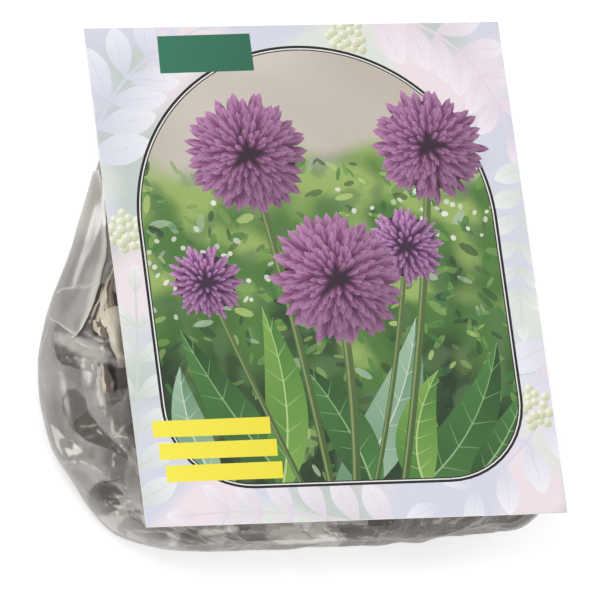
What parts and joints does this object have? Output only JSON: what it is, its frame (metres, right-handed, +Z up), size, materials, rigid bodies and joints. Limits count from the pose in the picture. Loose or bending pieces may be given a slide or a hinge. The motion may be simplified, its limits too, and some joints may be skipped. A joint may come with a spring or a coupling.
{
  "type": "flower bulb pack",
  "caption": "Sealed see-through film bag of dry flower bulbs glued behind a large flat printed card, lying on its back; sells and protects the bulbs until planting.",
  "frame": {"origin": "middle of the pack's box, on the surface that it lies on", "axes": "+Z up, out of the printed side; +X across the card to its right edge as it is looked at; +Y from the bulb end to the head of the card"},
  "size_m": [0.192, 0.1914, 0.0486],
  "materials": {
    "card_board": "gloss",
    "adhesive": "satin",
    "clear_film": "gloss",
    "bulb_tunic": "matte"
  },
  "bodies": {
    "root": {"printed_card": "card_board", "lower_glue_strip": "adhesive", "upper_glue_strip": "adhesive", "film_bag": "clear_film", "bulb_1": "bulb_tunic", "bulb_2": "bulb_tunic", "bulb_3": "bulb_tunic", "bulb_4": "bulb_tunic", "bulb_5": "bulb_tunic"}
  },
  "joints": []
}
